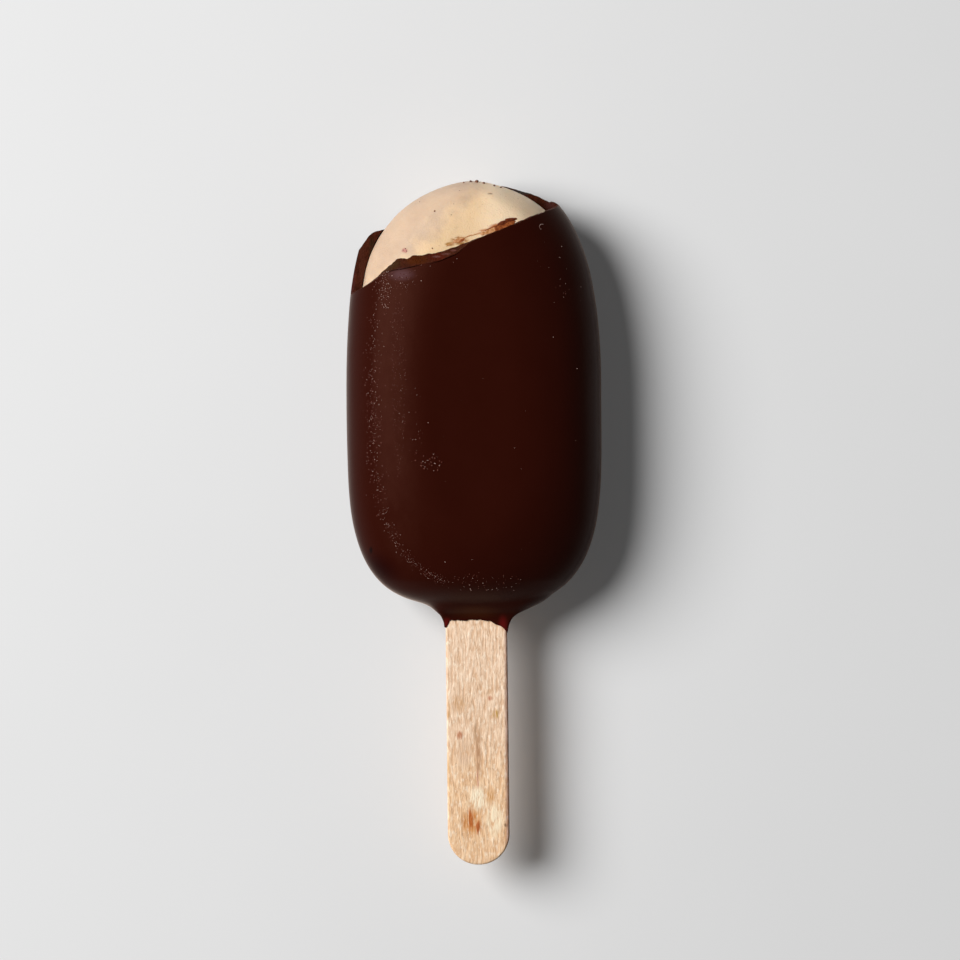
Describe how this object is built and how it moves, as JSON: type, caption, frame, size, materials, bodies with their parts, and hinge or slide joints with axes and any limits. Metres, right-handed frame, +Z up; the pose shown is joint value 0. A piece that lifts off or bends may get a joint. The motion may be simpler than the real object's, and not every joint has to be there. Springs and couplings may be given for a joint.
{
  "type": "ice cream bar",
  "caption": "Pale ice cream bar on a flat wooden stick, in a dark chocolate coating that has broken away round its tip.",
  "frame": {"origin": "centre of the bounding box at its bottom, on the surface that the bar lies on", "axes": "+Z up through the bar's thickness, from its back to the face shown; +Y along the bar, from the stick to the tip; +X across its width, to the right as seen from above with the tip away from the viewer"},
  "size_m": [0.051, 0.1367, 0.024],
  "materials": {
    "dark_chocolate": "dark chocolate, satin, with a soft sheen",
    "ice_cream": "smooth pale beige ice cream, moist matte",
    "birch_wood": "bare sanded birch with fine grain and brown flecks"
  },
  "bodies": {
    "root": {"chocolate_coating": "dark_chocolate", "ice_cream": "ice_cream", "wooden_stick": "birch_wood"}
  },
  "joints": []
}
